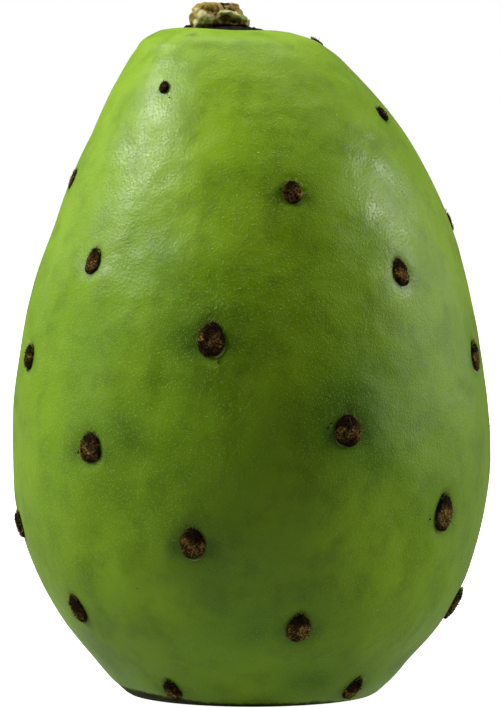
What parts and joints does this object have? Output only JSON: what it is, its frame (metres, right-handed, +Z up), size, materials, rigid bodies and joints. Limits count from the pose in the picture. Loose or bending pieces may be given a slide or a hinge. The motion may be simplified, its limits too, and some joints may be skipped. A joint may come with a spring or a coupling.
{
  "type": "prickly pear fruit",
  "caption": "Whole green prickly pear fruit standing on its wide flower end, with felted areole cushions in spirals and a dry stem stub on top.",
  "frame": {"origin": "middle of the ring that the fruit rests on, at the level of the surface", "axes": "+Z up along the fruit's length, from the flower end to the stem end; -Y faces the viewer of the picture; +X to the viewer's right"},
  "size_m": [0.0602, 0.0611, 0.0865],
  "materials": {
    "rind": "waxy green skin with a thin pale bloom and fine pale dots",
    "dry_stub": "dry torn cactus pad tissue, matt cream and brown"
  },
  "bodies": {
    "root": {"fruit_body": "rind", "stem_stub": "dry_stub"}
  },
  "joints": []
}
